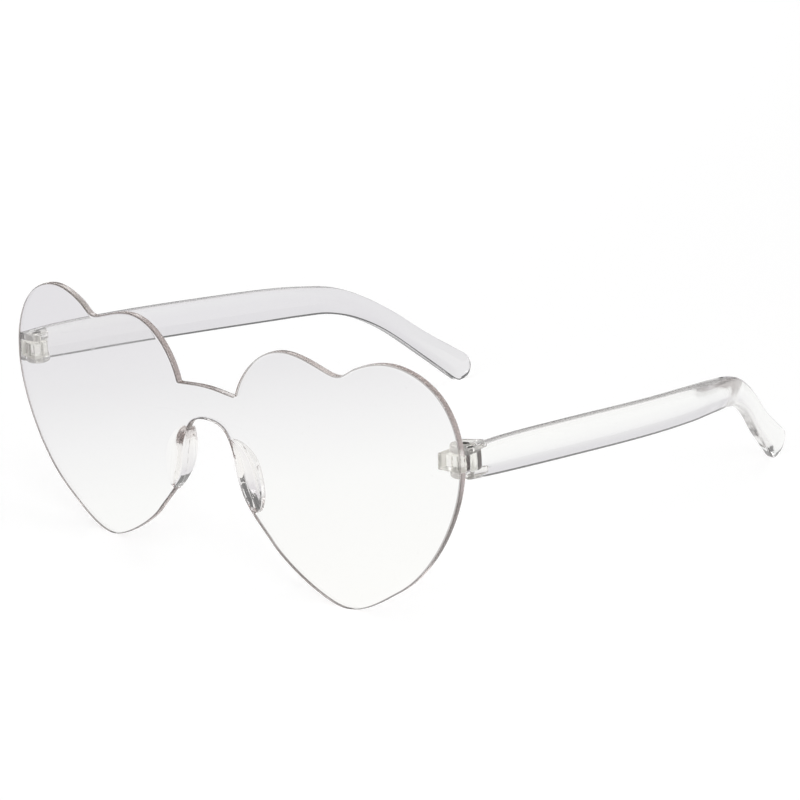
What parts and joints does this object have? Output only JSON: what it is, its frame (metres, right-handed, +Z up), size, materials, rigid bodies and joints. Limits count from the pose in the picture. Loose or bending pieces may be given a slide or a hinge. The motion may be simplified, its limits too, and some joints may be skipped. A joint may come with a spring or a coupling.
{
  "type": "heart-shaped glasses",
  "caption": "Rimless heart-shaped glasses: one clear domed shield for both eyes, leaf nose pads, and temples that fold on screwed fork-and-lug hinges.",
  "frame": {"origin": "on the standing surface, midway between front and tips, on the plane of symmetry", "axes": "+X to the wearer's left, -Y the way the wearer looks, +Z up; the temples run towards +Y"},
  "size_m": [0.1476, 0.1468, 0.0592],
  "materials": {
    "clear_sheet": "polished clear polycarbonate",
    "clear_pad": "clear moulded plastic, slightly worn",
    "clear_lug": "clear moulded plastic, faintly yellow",
    "clear_temple": "polished clear moulded plastic",
    "screw_steel": "plain turned steel"
  },
  "bodies": {
    "front": {"shield": "clear_sheet", "nose_pad_left": "clear_pad", "nose_pad_right": "clear_pad", "hinge_lug_left": "clear_lug", "hinge_lug_right": "clear_lug"},
    "temple_left_body": {"temple_left": "clear_temple", "hinge_screw_left": "screw_steel"},
    "temple_right_body": {"temple_right": "clear_temple", "hinge_screw_right": "screw_steel"}
  },
  "joints": [
    {"name": "temple_left_fold", "type": "hinge", "parent": "front", "child": "temple_left_body", "pos_m": [0.0699, -0.06305, 0.0396], "axis": [0, 0, 1], "range_deg": [0, 84]},
    {"name": "temple_right_fold", "type": "hinge", "parent": "front", "child": "temple_right_body", "pos_m": [-0.0699, -0.06305, 0.0396], "axis": [0, 0, -1], "range_deg": [0, 79]}
  ]
}
